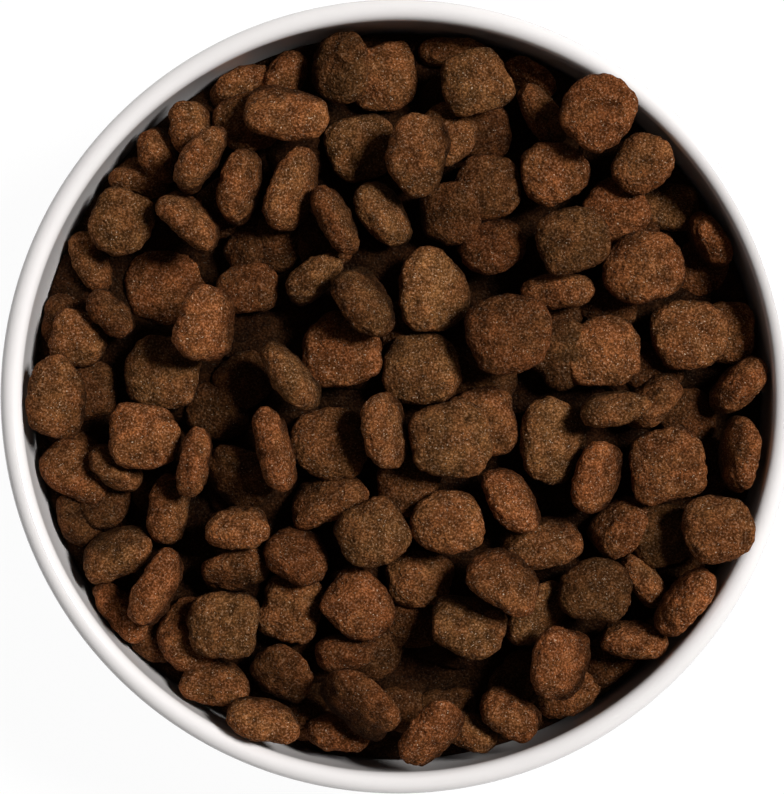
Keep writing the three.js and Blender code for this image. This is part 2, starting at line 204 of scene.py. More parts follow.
# %% Sizes of the bowl
high_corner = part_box("bowl")[1]
RIM_RADIUS = high_corner.y / MM
BOWL_HEIGHT = high_corner.z / MM
WALL_AT_LIP = 3.8
WALL_AT_FOOT = 4.6
LIP_RADIUS = WALL_AT_LIP / 2
FOOT_RADIUS = 42
FOOT_RING_WIDTH = 4.5
FOOT_RING_HEIGHT = 2.6
FOOT_EDGE_ROUND = 0.8
FOOT_FILLET = 0.7
LEVEL_SHARE = 0.72
LEVEL_CLIMB = 1.2
UPRIGHT_SHARE = 0.7
WALL_STEPS = 64
LIP_STEPS = 16
CORNER_STEPS = 6
UNDERSIDE_STEPS = 8
FLOOR_STEPS = 12
FILLET_END = 2
SAME_POINT = 1e-3
print(f"rim radius {RIM_RADIUS:.2f} mm, height {BOWL_HEIGHT:.2f} mm")


# %% The profile as arrays
def lerp(first, last, share):
    """A value between two others"""
    return first + (last - first) * share


def curve_through(controls, count):
    """A curve of degree 2 or 3, drawn towards its control points: each one is weighed by the terms of
    (share + (1 - share)) to that degree."""
    share = np.linspace(0, 1, count)[:, None]
    rest = 1 - share
    if len(controls) == 3:
        weights = (rest**2, 2 * rest * share, share**2)
    else:
        weights = (rest**3, 3 * rest**2 * share, 3 * rest * share**2, share**3)
    return sum(weight * np.array(control, float) for weight, control in zip(weights, controls))


WALL_RISE = BOWL_HEIGHT - FOOT_RING_HEIGHT
OUTSIDE_CONTROLS = (
    (FOOT_RADIUS, FOOT_RING_HEIGHT),
    (lerp(FOOT_RADIUS, RIM_RADIUS, LEVEL_SHARE), FOOT_RING_HEIGHT + LEVEL_CLIMB),
    (RIM_RADIUS, BOWL_HEIGHT - UPRIGHT_SHARE * WALL_RISE),
    (RIM_RADIUS, BOWL_HEIGHT - LIP_RADIUS),
)


def wall_curves(count):
    """The outside and the inside of the wall from the foot up, as rows of radius and height.
    An inside point lies square to the outside, one wall thickness in."""
    outside = curve_through(OUTSIDE_CONTROLS, count)
    along = np.gradient(outside, axis=0)
    along /= np.linalg.norm(along, axis=1, keepdims=True)
    thickness = np.linspace(WALL_AT_FOOT, WALL_AT_LIP, count)[:, None]
    inside = outside + np.stack([-along[:, 1], along[:, 0]], axis=1) * thickness
    return outside, inside


def bowl_profile():
    """Rows of radius and height from the axis below to the axis inside"""
    foot_inside = FOOT_RADIUS - FOOT_RING_WIDTH
    outside, inside = wall_curves(WALL_STEPS)
    around_lip = np.linspace(0, np.pi, LIP_STEPS + 1)[1:-1]
    lip_centre = np.array([RIM_RADIUS - LIP_RADIUS, BOWL_HEIGHT - LIP_RADIUS])
    lip = lip_centre + LIP_RADIUS * np.stack([np.cos(around_lip), np.sin(around_lip)], axis=1)
    level_end = [foot_inside - FOOT_FILLET, FOOT_RING_HEIGHT]
    underside = np.linspace([0, FOOT_RING_HEIGHT], level_end, UNDERSIDE_STEPS)
    corners = (
        ((foot_inside - FOOT_FILLET, FOOT_RING_HEIGHT), (foot_inside, FOOT_RING_HEIGHT),
         (foot_inside, FOOT_RING_HEIGHT - FOOT_FILLET)),
        ((foot_inside, FOOT_EDGE_ROUND), (foot_inside, 0), (foot_inside + FOOT_EDGE_ROUND, 0)),
        ((FOOT_RADIUS - FOOT_EDGE_ROUND, 0), (FOOT_RADIUS, 0), (FOOT_RADIUS, FOOT_EDGE_ROUND)),
        ((FOOT_RADIUS, FOOT_RING_HEIGHT - FOOT_FILLET), (FOOT_RADIUS, FOOT_RING_HEIGHT),
         tuple(outside[FILLET_END])),
    )
    foot = [curve_through(corner, CORNER_STEPS) for corner in corners]
    floor = np.linspace(inside[0], [0, FOOT_RING_HEIGHT + WALL_AT_FOOT], FLOOR_STEPS)[1:]
    rows = np.concatenate([underside, *foot, outside[FILLET_END + 1:], lip, inside[::-1], floor])
    apart = np.linalg.norm(np.diff(rows, axis=0), axis=1) > SAME_POINT
    return rows[np.concatenate([[True], apart])]


profile = bowl_profile()
print("points in the profile:", len(profile))


# %% The turned bowl
BOWL_STEPS = 240


def turned_surface(rows, steps):
    """A closed surface of two parameters: the place along the profile and the angle about the
    axis. x = r cos(angle), y = r sin(angle), z = height. Both ends lie on the axis, where a fan
    of triangles closes the surface."""
    angle = np.arange(steps) * 2 * np.pi / steps
    radius = rows[1:-1, 0, None]
    ring_points = np.stack(
        [radius * np.cos(angle), radius * np.sin(angle), np.repeat(rows[1:-1, 1, None], steps, 1)],
        axis=2,
    ).reshape(-1, 3)
    ends = np.array([[0, 0, rows[0, 1]], [0, 0, rows[-1, 1]]])
    points = np.concatenate([ring_points, ends])
    here = np.arange(steps)
    after = (here + 1) % steps
    first = np.arange(len(rows) - 3)[:, None] * steps
    quads = np.stack([first + here, first + after, first + steps + after, first + steps + here], axis=2)
    last = (len(rows) - 3) * steps
    start_fan = np.stack([after, here, np.full(steps, len(points) - 2)], axis=1)
    end_fan = np.stack([last + here, last + after, np.full(steps, len(points) - 1)], axis=1)
    return points * MM, [quads.reshape(-1, 4), np.concatenate([start_fan, end_fan])]


bowl_points, bowl_faces = turned_surface(profile, BOWL_STEPS)
bowl = add_piece("glazed_bowl", bowl_points, bowl_faces, "bowl", white_glaze)
print("faces of the bowl:", len(bowl.data.polygons))

# %% [markdown]
# ## Lumps and grain
# Kibble is dough that was pressed through a die, cut, puffed up by steam and dried. It keeps
# soft lumps, a crumbly skin and fine pores. All three are the same thing at different sizes:
# smooth random hills. Numbers from -1 to 1 stand on the corners of a cubic grid, and between
# the corners they are blended. Blender's Displace modifier could do it too, but here the same
# numbers also darken the hollows later, as painted shade.


# %% Random hills
def corner_numbers(corner, seed):
    """A number from -1 to 1 for every grid corner. Its three whole numbers are multiplied by
    large odd numbers, added up and folded over, which scatters neighbours far apart."""
    x, y, z = (corner[..., axis].astype(np.uint32) for axis in range(3))
    start = np.uint32(seed * 974634777 % 2**32)
    mixed = x * np.uint32(374761393) + y * np.uint32(668265263) + z * np.uint32(1442695041) + start
    mixed = (mixed ^ (mixed >> np.uint32(13))) * np.uint32(1274126177)
    mixed = mixed ^ (mixed >> np.uint32(16))
    return mixed / 2.0**31 - 1


def hills(points, wavelength, seed):
    """Blends the eight corner numbers around each point by 3 t squared - 2 t cubed along each axis"""
    cell = points / wavelength
    corner = np.floor(cell).astype(np.int64)
    share = cell - corner
    share = share**2 * (3 - 2 * share)
    total = 0
    for step in product((0, 1), repeat=3):
        weights = np.where(np.array(step) == 1, share, 1 - share)
        total = total + weights.prod(axis=-1) * corner_numbers(corner + np.array(step), seed)
    return total


print("a few hills:", np.round(hills(np.array([[0.3, 0.2, 0.9], [5.1, 2.2, 7.3]]), 1.0, 1), 3))

# %% [markdown]
# ## One kibble
# Seen flat, a kibble is between an ellipse and a square, and its section is a puffed lens.
# A superellipse has a single number for that squareness. The surface starts as a cube whose
# sides are grids of small squares, blown up to a ball. A ball made that way has no pole where
# faces crowd together, so that the grain comes out even all over.


# %% A ball of squares
def ball_of_squares(cells):
    """Directions and quads. Each side of a cube is a grid of cells by cells squares. The tangent
    of evenly stepped angles spreads the grid lines evenly, and every point is then moved
    to distance 1. Points that two sides share are merged, so the ball is closed."""
    one, other = np.meshgrid(np.arange(cells + 1), np.arange(cells + 1), indexing="ij")
    near = np.zeros_like(one)
    far = np.full_like(one, cells)
    sides = ((far, one, other), (near, other, one), (other, far, one),
             (one, near, other), (one, other, far), (other, one, near))
    points = np.concatenate([np.stack(side, axis=2).reshape(-1, 3) for side in sides])
    number = np.arange((cells + 1) ** 2).reshape(cells + 1, cells + 1)
    quads = np.stack([number[:-1, :-1], number[1:, :-1], number[1:, 1:], number[:-1, 1:]], axis=2)
    quads = quads.reshape(-1, 4)
    every = np.concatenate([quads + side * (cells + 1) ** 2 for side in range(6)])
    shared, merged = np.unique(points, axis=0, return_inverse=True)
    spread = np.tan((shared / cells - 0.5) * np.pi / 2)
    return spread / np.linalg.norm(spread, axis=1, keepdims=True), merged.reshape(-1)[every]


FINEST_CELLS = 32
directions, quads = ball_of_squares(FINEST_CELLS)
print("points and faces of the finest kibble:", len(directions), len(quads))


# %% The kibble's surface
SECTION_FULLNESS = 2.35
USUAL_SQUARENESS = 2.5
OUTLINE_WAVES = ((2, 0.025), (3, 0.05), (4, 0.03), (5, 0.02))
LEAST_WAVE = 0.3
TAPER = 0.012
BEND = 0.008
BEND_REST = 4.0
LUMP_SIZES = ((7.0, 0.42), (3.1, 0.28), (1.5, 0.19), (0.8, 0.15))
CRUMB_DEPTH = 0.12
PIT_SIZE = 1.9
PIT_LEVEL = 0.45
PIT_DEPTH = 0.5
PIT_SEED = 11
HOLLOW_START = 0.42
HOLLOW_BY_LUMPS = 0.95
HOLLOW_BY_PITS = 0.8
FAR_APART = 4000
TINY = 1e-9
TRIAL_SIZE = (13.4, 12.4, 6.0)


def kibble_surface(directions, sizes, squareness, seed):
    """Points of many kibbles at once, in millimetres about their middles, and how hollow the
    skin is at each of them from 0 to 1.
    A point d of the ball moves to d divided by
    ((|x| to n + |y| to n) to m/n + |z| to m) to 1/m
    with n the squareness and m the fullness of the section, and is then stretched to size.
    Gentle waves in the outline, a slight taper and a slight bend make no two alike. Hills of
    four sizes and a few pits then push the skin in and out along its normal, which is the
    slope of the formula above."""
    count = len(sizes)
    chance = np.random.default_rng(seed)
    n = squareness[:, None]
    m = SECTION_FULLNESS
    x, y, z = (np.abs(directions[:, axis])[None, :] for axis in range(3))
    flat = np.maximum(x**n + y**n, TINY)
    pillow = directions[None] / ((flat ** (m / n) + z**m) ** (1 / m))[..., None]
    half = sizes[:, None, :] / 2
    angle = np.arctan2(directions[:, 1], directions[:, 0])[None, :]
    wave = np.ones((count, len(directions)))
    for waves, height in OUTLINE_WAVES:
        turn = chance.uniform(0, 2 * np.pi, (count, 1))
        wave += height * chance.uniform(LEAST_WAVE, 1, (count, 1)) * np.cos(waves * angle + turn)
    points = pillow * half
    points[..., :2] *= wave[..., None]
    taper = chance.uniform(-TAPER, TAPER, (count, 1, 2))
    points[..., 2] *= 1 + (points[..., :2] * taper).sum(axis=2)
    bend = chance.uniform(-BEND, BEND, (count, 1))
    points[..., 2] += bend * (points[..., 0] ** 2 - BEND_REST**2)

    px, py, pz = (np.abs(pillow[..., axis]) for axis in range(3))
    flat = np.maximum(px**n + py**n, TINY)
    slope = np.stack(
        [flat ** (m / n - 1) * px ** (n - 1), flat ** (m / n - 1) * py ** (n - 1), pz ** (m - 1)],
        axis=2,
    )
    slope = slope * np.sign(pillow) / half
    normal = slope / np.linalg.norm(slope, axis=2, keepdims=True)

    spot = points + chance.uniform(0, FAR_APART, (count, 1, 3))
    push = -np.full((count, len(directions)), CRUMB_DEPTH)
    rough = 0
    for place, (wavelength, height) in enumerate(LUMP_SIZES):
        hill = hills(spot, wavelength, place + 1)
        push += height * hill
        if place > 0:
            rough = rough + height * hill
    pits = np.clip(hills(spot, PIT_SIZE, PIT_SEED) - PIT_LEVEL, 0, 1)
    push -= PIT_DEPTH * pits
    hollow = np.clip(HOLLOW_START - HOLLOW_BY_LUMPS * rough + HOLLOW_BY_PITS * pits, 0, 1)
    return points + push[..., None] * normal, hollow


trial = kibble_surface(directions, np.array([TRIAL_SIZE]), np.array([USUAL_SQUARENESS]), seed=1)[0]
print("size of a trial kibble in mm:", np.round(np.ptp(trial[0], axis=0), 2))

# %% [markdown]
# ## The colour of kibble
# Cooked meal is brown, but not one brown: a batch holds reddish and olive kibbles, and many are
# both. Each kibble therefore gets a lightness and a hue of its own, kept in the mesh as a colour
# attribute, the tint. Its red channel is the lightness, which also carries painted shade: darker
# on the lower half of each kibble and on the lower layers. Green runs from reddish to olive, and
# blue says how hollow the skin is, which the material turns into painted shade in the hollows.
# The material reads them and adds what is too fine for the mesh: roasted patches, grain whose
# crests get a painted highlight, pores, and pale specks of meal that also stand in for glints,
# partly a painted highlight. Lightness comes last, so that specks don't glitter on a kibble that
# lies in the dark. An image texture could do this too, but it would need unwrapping and would repeat.
#
# Each range below holds four numbers: two values of the noise, and what they turn into.

# %% Brown, baked and porous
REDDISH = (0.186, 0.058, 0.017, 1)
OLIVE = (0.154, 0.063, 0.0195, 1)
# pale meal, also used as the colour of painted highlights
PALE_MEAL_AND_HIGHLIGHT = (0.59, 0.43, 0.30, 1)
PATCH = 5 * MM
ROAST = 2.2 * MM
GRAIN = 0.37 * MM
SPECK = 0.33 * MM
CRUMB = 0.6 * MM
PORE_DEPTH = 0.55 * MM
KIBBLE_ROUGHNESS = 0.85
KIBBLE_GLOSS = 0.03
HUE_BY_PATCH = (0.38, 0.62, -0.22, 0.22)
SHADE_BY_ROAST = (0.36, 0.64, 0.62, 1.26)
SHADE_BY_GRAIN = (0.38, 0.62, 0.46, 1.46)
# painted shade: the hollows of the skin are darkened
PAINTED_SHADE_BY_HOLLOW = (0, 1, 1.32, 0.45)
# painted highlight: the crests of the grain turn pale, as if they caught the light
PAINTED_HIGHLIGHT_ON_CRESTS = (0.56, 0.7, 0, 0.2)
# pale specks of meal, which also stand in for glints: partly own colour, partly painted highlight
MEAL_SPECKS_AND_GLINTS = (0.69, 0.75, 0, 0.85)


def kibble_material():
    """Baked meal, coloured by the tint of each point"""
    material, tree = new_material("baked kibble")
    place = add_node(tree, "ShaderNodeTexCoord").outputs["Object"]
    tint_with_painted_shade = add_node(tree, "ShaderNodeAttribute", attribute_name="tint_with_painted_shade").outputs["Color"]
    channels = add_node(tree, "ShaderNodeSeparateColor", {0: tint_with_painted_shade})
    lightness, hue, hollow = (channels.outputs[name] for name in ("Red", "Green", "Blue"))
    patches = change_range(tree, noise(tree, place, PATCH), *HUE_BY_PATCH)
    colour = mix_colours(tree, combine(tree, "ADD", hue, patches), REDDISH, OLIVE)
    roast = change_range(tree, noise(tree, place, ROAST, detail=3.0), *SHADE_BY_ROAST)
    grains = noise(tree, place, GRAIN, detail=3.0)
    grain = change_range(tree, grains, *SHADE_BY_GRAIN)
    # roast and grain are the meal's own colour; the hollows add painted shade
    roast_grain_and_painted_shade = combine(tree, "MULTIPLY", roast, grain)
    # painted shade in the hollows of the skin
    roast_grain_and_painted_shade = combine(tree, "MULTIPLY", roast_grain_and_painted_shade, change_range(tree, hollow, *PAINTED_SHADE_BY_HOLLOW))
    colour = mix_colours(tree, 1.0, colour, roast_grain_and_painted_shade, "MULTIPLY")
    # painted highlight on the crests of the grain
    painted_crest_highlights = change_range(tree, grains, *PAINTED_HIGHLIGHT_ON_CRESTS)
    colour = mix_colours(tree, painted_crest_highlights, colour, PALE_MEAL_AND_HIGHLIGHT)
    # specks of meal that also serve as painted glints
    meal_specks_and_glints = change_range(tree, noise(tree, place, SPECK, detail=1.0), *MEAL_SPECKS_AND_GLINTS)
    colour = mix_colours(tree, meal_specks_and_glints, colour, PALE_MEAL_AND_HIGHLIGHT)
    # lightness comes last; it carries painted shade on lower halves and lower layers
    colour = mix_colours(tree, 1.0, colour, combine(tree, "MULTIPLY", lightness, 2.0), "MULTIPLY")
    pores = add_node(
        tree,
        "ShaderNodeBump",
        {"Height": noise(tree, place, CRUMB, detail=4.0), "Strength": 1.0, "Distance": PORE_DEPTH},
    )
    inputs = {
        "Base Color": colour,
        "Roughness": KIBBLE_ROUGHNESS,
        "Specular IOR Level": KIBBLE_GLOSS,
        "Normal": pores.outputs[0],
    }
    finish_material(tree, add_node(tree, "ShaderNodeBsdfPrincipled", inputs).outputs[0])
    return material


baked_kibble = kibble_material()
print("finish:", baked_kibble.name)


# %% Tints
REDDER_SIDES = 0.2
SIDE_START = 1.2
SIDE_FALL = 2
# painted shade: how much darker each kibble gets towards its lower half
SKIRT_PAINTED_SHADE = 0.6
LEAST_PAINTED_SHADE = 0.25


def side_share(directions):
    """0 on the two flat faces of a kibble and 1 all round its edge, where the knife cut it"""
    return np.clip(SIDE_START - SIDE_FALL * np.abs(directions[:, 2]), 0, 1)


def painted_skirt_shade(points):
    """1 on top of each kibble, falling off towards its lower half. This is painted shade: its neighbours
    stand close there and little light reaches it."""
    height = points[..., 2]
    top = height.max(axis=-1, keepdims=True)
    depth = (top - height) / (np.ptp(height, axis=-1, keepdims=True) / 2)
    return np.clip(1 - SKIRT_PAINTED_SHADE * depth**3, LEAST_PAINTED_SHADE, 1)


def add_tint(piece, lightness, hue, hollow):
    """Stores lightness, hue and hollowness per point. Lightness 0.5 leaves the colour as it is."""
    tint_with_painted_shade = piece.data.attributes.new("tint_with_painted_shade", "FLOAT_COLOR", "POINT")
    channels = np.stack([lightness, hue, hollow, np.ones_like(hollow)], axis=-1)
    tint_with_painted_shade.data.foreach_set("color", channels.astype(np.float32).ravel())


# %% [markdown]
# ## The top layer
# The solid model already settled 58 kibbles onto the heap, each with its own lean. So their
# places are measured from the frame and not typed again: the thin axis of a pillow is the one
# along which its points vary least, and each pillow was tipped about its long axis, which
# therefore stayed level.


# %% Where each kibble lies
def lie_of(name):
    """Middle, axes and sizes of a solid kibble, in millimetres. The rows of the axes are the
    long one, the broad one and the one through the kibble."""
    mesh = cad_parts[name].data
    points = np.empty(len(mesh.vertices) * 3, np.float32)
    mesh.vertices.foreach_get("co", points)
    points = points.reshape(-1, 3).astype(float) / MM
    middle = (points.min(axis=0) + points.max(axis=0)) / 2
    apart = points - middle
    through = np.linalg.eigh(apart.T @ apart)[1][:, 0]
    through = through * np.sign(through[2])
    long = np.array([through[1], -through[0], 0])
    long = long / np.linalg.norm(long)
    axes = np.stack([long, np.cross(through, long), through])
    return middle, axes, np.ptp(apart @ axes.T, axis=0)


top_names = sorted(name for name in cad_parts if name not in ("bowl", "kibble_bed"))
middles, axes, sizes = (np.array(rows) for rows in zip(*(lie_of(name) for name in top_names)))
print("kibbles on top:", len(top_names), "mean size in mm:", np.round(sizes.mean(axis=0), 1))

# %% [markdown]
# ## Kibbles that stand out
# A few kibbles are squarer than the rest, and a few are clearly redder, greener, paler or darker.
# They are numbered here, those on top and then those between them, which are counted from 0.
# All others are a usual brown, and chance moves each of them a little.

# %% Kibbles that stand out
LIGHTNESS_CHANCE = 0.03
HUE_CHANCE = 0.12
TOP_SQUARENESS = (2.3, 2.8)
SQUARENESS_SEED = 8
SQUARE_ONES = {9: 3.4, 15: 3.4, 35: 3.2, 43: 3.6, 44: 3.2}
PALE, USUAL, DARK = 0.58, 0.47, 0.30
RED, BROWN, GREENISH = 0.2, 0.5, 0.84
PALE_ONES = {5, 6, 18, 19, 25, 26, 32, 38, 39, 46, 49, 50, 54}
DARK_ONES = {7, 10, 15, 22, 28, 40, 47, 53}
RED_ONES = {12, 14, 16, 18, 19, 20, 23, 28, 29, 33, 34, 35, 38, 40, 42, 45, 50, 51, 54, 56, 57, 58}
GREENISH_ONES = {7, 9, 11, 15, 21, 22, 24, 25, 27, 36, 37, 41, 43, 48, 52, 53}
MIDDLE_PALE_ONES = {9, 31, 32, 49}
MIDDLE_DARK_ONES = {12, 13, 14, 20, 22, 26, 28, 30, 38, 43, 46, 47}
MIDDLE_RED_ONES = {6, 14, 17, 18, 19, 20, 34, 35, 37, 38, 48, 49, 50}
MIDDLE_GREENISH_ONES = {3, 9, 16, 23, 24, 26, 30, 40, 42, 43, 51}


def looks(numbers, pale, dark, red, greenish, seed):
    """Lightness and hue of numbered kibbles, each with a small chance change"""
    chance = np.random.default_rng(seed)
    lightness = [PALE if one in pale else DARK if one in dark else USUAL for one in numbers]
    hue = [RED if one in red else GREENISH if one in greenish else BROWN for one in numbers]
    count = len(numbers)
    lightness = lightness + chance.uniform(-LIGHTNESS_CHANCE, LIGHTNESS_CHANCE, count)
    return lightness, hue + chance.uniform(-HUE_CHANCE, HUE_CHANCE, count)


top_numbers = [int(name.split("_")[1]) for name in top_names]
top_lightness, top_hue = looks(
    top_numbers, PALE_ONES, DARK_ONES, RED_ONES, GREENISH_ONES, seed=5
)
top_squareness = np.random.default_rng(SQUARENESS_SEED).uniform(*TOP_SQUARENESS, len(top_names))
for number, squareness in SQUARE_ONES.items():
    top_squareness[top_numbers.index(number)] = squareness
print("kibbles on top with a hue of their own:", len(RED_ONES | GREENISH_ONES))

# %% The top layer's pieces
FACET_ALLOWANCE = 0.98


def placed(points, axes, middles):
    """Turns each kibble's points along its own axes and moves them to its middle"""
    return np.einsum("kvi,kij->kvj", points, axes) + middles[:, None, :]


top_points, top_hollow = kibble_surface(directions, sizes * FACET_ALLOWANCE, top_squareness, seed=20)
top_points = placed(top_points, axes, middles) * MM
for index, name in enumerate(top_names):
    piece = add_piece(f"baked_{name}", top_points[index], [quads], name, baked_kibble)
    hue = top_hue[index] - REDDER_SIDES * side_share(directions)
    # lightness with painted shade towards the kibble's lower half
    lightness = top_lightness[index] * painted_skirt_shade(top_points[index])
    add_tint(piece, lightness, hue, top_hollow[index])
print("pieces in the top layer:", len(top_names))

# %% [markdown]
# ## The kibbles underneath
# Between the top kibbles others show, whole or by a corner. In the solid model they are fused
# into one filling, so here each one is made again as a kibble. The rows say where it lies as
# seen from above: x, y, its longer and its shorter width, the bearing of the longer one, how
# far it is tipped about it, and sometimes its squareness. All are millimetres and degrees, on
# the scale of the picture. The heap stands nearer to the camera than the rim, so everything in
# it is a little smaller than it looks, and two shares bring the rows to true size.

# %% Kibbles between those on top
TRUE_WIDTH, SEEN_WIDTH = 12.9, 13.4
TRUE_RIM_RADIUS, SEEN_RIM_RADIUS = 70, 70.6
SIZE_SHARE = TRUE_WIDTH / SEEN_WIDTH
PLACE_SHARE = TRUE_RIM_RADIUS / SEEN_RIM_RADIUS
MIDDLE_KIBBLES = [
    (-29, 57.5, 12, 5.2, 25, -76), (-44, 44.5, 11, 6.3, 110, -58), (-47, 39.5, 12, 5.6, -10, 80),
    (-49.5, 31.5, 12.8, 12, 60, 12), (-26.5, 49.5, 12.5, 11, 0, 15), (-58, 26, 12, 6, 110, -65),
    (-41.5, 19.8, 15.5, 14.5, 0, 8), (-21, 58.7, 11, 7.5, 60, -48), (-2.8, 57.5, 13.3, 13, 10, 6, 3.4),
    (-6.5, 45, 13, 12.4, 20, 8), (8.5, 47, 12, 11.5, 40, 12), (10.5, 62.3, 13, 5.4, -3, -78),
    (16, 37.5, 12.5, 12, 0, 8), (9.5, 32.8, 12, 11, 110, 20), (17, 27, 12.5, 10, 20, 28),
    (26, 50.5, 13, 5.5, -60, 78), (50, 35, 12, 9.5, 0, 32), (39, 33.5, 12.3, 12, 30, 8),
    (55, 24, 12, 11, 60, 12), (57.2, 28.5, 12, 5.6, -58, -76), (-26.8, 19.3, 11, 10, 0, 12),
    (-57.5, 10.5, 11, 10, 90, -20), (-51.3, 14.8, 11, 5.6, -45, 75), (-42, 4.3, 14.5, 14, 0, 6),
    (-50.8, -12.8, 11.5, 5.8, -35, 72), (-41, -20, 13, 6.8, 85, -60), (-28.3, -14.5, 13.5, 10, -40, -38),
    (15, -4.5, 14, 13, 0, 8), (2, -15.8, 12.5, 12, 0, 8), (-12.5, -18.3, 14.5, 8, 25, 52),
    (29.3, 7.8, 12.5, 12, 30, -10), (36.8, 8, 14, 13.4, 0, 6), (59.5, 11.3, 11.5, 10.5, 90, 18),
    (45.7, -0.8, 13, 6.5, 42, 62), (-50, -38.8, 13, 5.2, -50, 78), (-36.5, -43, 13.5, 12.5, -40, 10),
    (-32.8, -51.3, 13, 8.5, -10, 45), (-11, -60.5, 12, 5.6, -8, 75), (-9.5, -45.8, 11, 5.8, 0, 70),
    (4, -32.5, 12.5, 11, 0, 10), (25.3, -39, 14, 8.5, 50, -50), (44, -32.7, 12.5, 5.4, -55, 76),
    (13.2, -60, 11, 5.8, -20, 68), (47.3, -24.5, 13, 12, 20, 8), (31.5, -53, 14, 10, 35, 34),
    (25.5, -26.3, 15.5, 9, 8, 46), (-20.5, -49.5, 12, 9.5, -35, -32), (-29.2, -31, 13, 7.2, 12, -52),
    (-59, -13, 14, 12, -35, 14), (24, 58, 11, 5.8, -33, -68), (40, -23.5, 12.5, 9, 40, 38),
    (4.2, 4.8, 14, 13.4, 0, 6), (-12.2, -8.5, 14.2, 13.6, 0, 6),
]
print("kibbles between those on top:", len(MIDDLE_KIBBLES))

# %% Kibbles of which a corner shows
DEEP_KIBBLES = [
    (-49.5, 41.5, 11, 10, 0, 10), (-31.5, 33.5, 11, 10, 30, -12), (-26.5, 27.5, 11, 9, 45, 20),
    (-13.2, 27.5, 11, 10, 0, 8), (-22, 27.5, 11, 10, 60, -10), (-61, 14, 11, 8, 80, -40),
    (-56, 1, 12, 11, 0, 10), (-53, -19, 11, 10, 20, 12), (-32.3, -2.5, 12, 11, 0, -8),
    (-27.5, 3, 11, 10, 40, 15), (-58, -22, 11, 8, 110, -40), (16.5, 2.5, 11, 10, 70, -15),
    (12.5, 4, 11, 10, 0, 8), (1.5, 12.5, 11, 10, 20, 10), (27.5, 14.5, 11, 9, 0, 25),
    (38, 16, 11, 10, 45, -10), (46, 5, 11, 10, 0, 10), (55, -12.5, 11, 10, 90, 15),
    (52, -4, 12, 11, 30, -10), (15, 47.8, 12, 11, 0, 8), (-16.5, -57.5, 11, 9, 10, 25),
    (37.8, -47.5, 11, 9, 40, 20), (1, -56, 11, 9, -20, 25), (50.5, -31, 11, 9, 60, 20),
    (2.5, -40.5, 12, 11, 0, 6), (-3.8, -46, 11, 10, 70, -15), (22.5, -51, 12, 10, 50, -20),
    (42, 28, 12, 11, 0, 8), (-46, -45, 11, 8, -45, 40), (9, -57, 11, 10, 0, 10),
]
print("kibbles of which a corner shows:", len(DEEP_KIBBLES))

# %% [markdown]
# ## Kibbles that fill the gaps
# Under all of these lie more kibbles, of which only shadows show. They are strewn along a spiral
# whose turn is the golden angle, as seeds are in a sunflower, because that covers a round area
# evenly and never lines up. Their bearings and tips step through their ranges.

# %% Strewn kibbles
STREWN_COUNT = 40
STREWN_REACH = 58
STREWN_SIZE = (13, 12)
GOLDEN_TURN = np.pi * (3 - np.sqrt(5))
BEARING_STEP = 77
TIP_STEP = 31
LARGEST_TIP = 25

number = np.arange(STREWN_COUNT)
reach = STREWN_REACH * np.sqrt((number + 0.5) / STREWN_COUNT)
strewn_kibbles = np.stack(
    [
        reach * np.cos(number * GOLDEN_TURN),
        reach * np.sin(number * GOLDEN_TURN),
        np.full(STREWN_COUNT, STREWN_SIZE[0]),
        np.full(STREWN_COUNT, STREWN_SIZE[1]),
        number * BEARING_STEP % 180,
        number * TIP_STEP % (2 * LARGEST_TIP) - LARGEST_TIP,
    ],
    axis=1,
)
print("strewn kibbles:", STREWN_COUNT)

# %% [markdown]
# ## Lowering them into the bowl
# A row says nothing about height. The filling of the solid model does: its upper face touches
# every kibble that it holds. So each kibble is held high over its place, and rays straight down
# measure the room between the corners of its solid and the filling. The least room is how far
# it comes down. Near the wall it first moves inwards a little until it fits the bowl.
#
# One kibble comes down so deep that two of the strewn ones would hide it. Those two go down
# further than the rest.

# %% Turning rows into axes and sizes
KIBBLE_THICKNESS = 6.0
LEAST_BREADTH = 0.78


def axes_from(rows):
    """Axes and sizes of kibbles from their rows. The long axis lies level along the bearing,
    and the kibble is tipped about it. The breadth seen from above is made of the face times
    cos(tip) and the edge times sin(tip), as the two short sides of a right-angled triangle."""
    bearing, tip = (np.radians([row[place] for row in rows]) for place in (4, 5))
    long, short = (np.array([row[place] for row in rows], float) for place in (2, 3))
    level = np.stack([np.cos(bearing), np.sin(bearing), np.zeros_like(bearing)], axis=1)
    through = np.stack(
        [-np.sin(bearing) * np.sin(tip), np.cos(bearing) * np.sin(tip), np.cos(tip)], axis=1
    )
    axes = np.stack([level, np.cross(through, level), through], axis=1)
    edge = KIBBLE_THICKNESS * np.sin(tip)
    face = np.sqrt(np.maximum(short**2 - edge**2, 0)) / np.cos(tip)
    broad = np.clip(face, LEAST_BREADTH * long, long)
    thick = np.full_like(long, KIBBLE_THICKNESS)
    return axes, np.stack([long * SIZE_SHARE, broad * SIZE_SHARE, thick], axis=1)


# %% Room over the filling
bed_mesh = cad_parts["kibble_bed"].data
bed_tree = BVHTree.FromPolygons(
    [point.co for point in bed_mesh.vertices], [face.vertices for face in bed_mesh.polygons]
)
HIGH_ABOVE = 0.2
SLIDE_STEP = 0.4
SLIDE_STEPS = 30
NOTHING_BELOW = -1e3
NO_WALL = 1e3
WALL_ROOM = 0.3
INSIDE_SHARE = 0.98
FILL_AT_WALL = 5.5
HEAP_CROWN = 4.5
wall_inside = wall_curves(WALL_STEPS)[1]


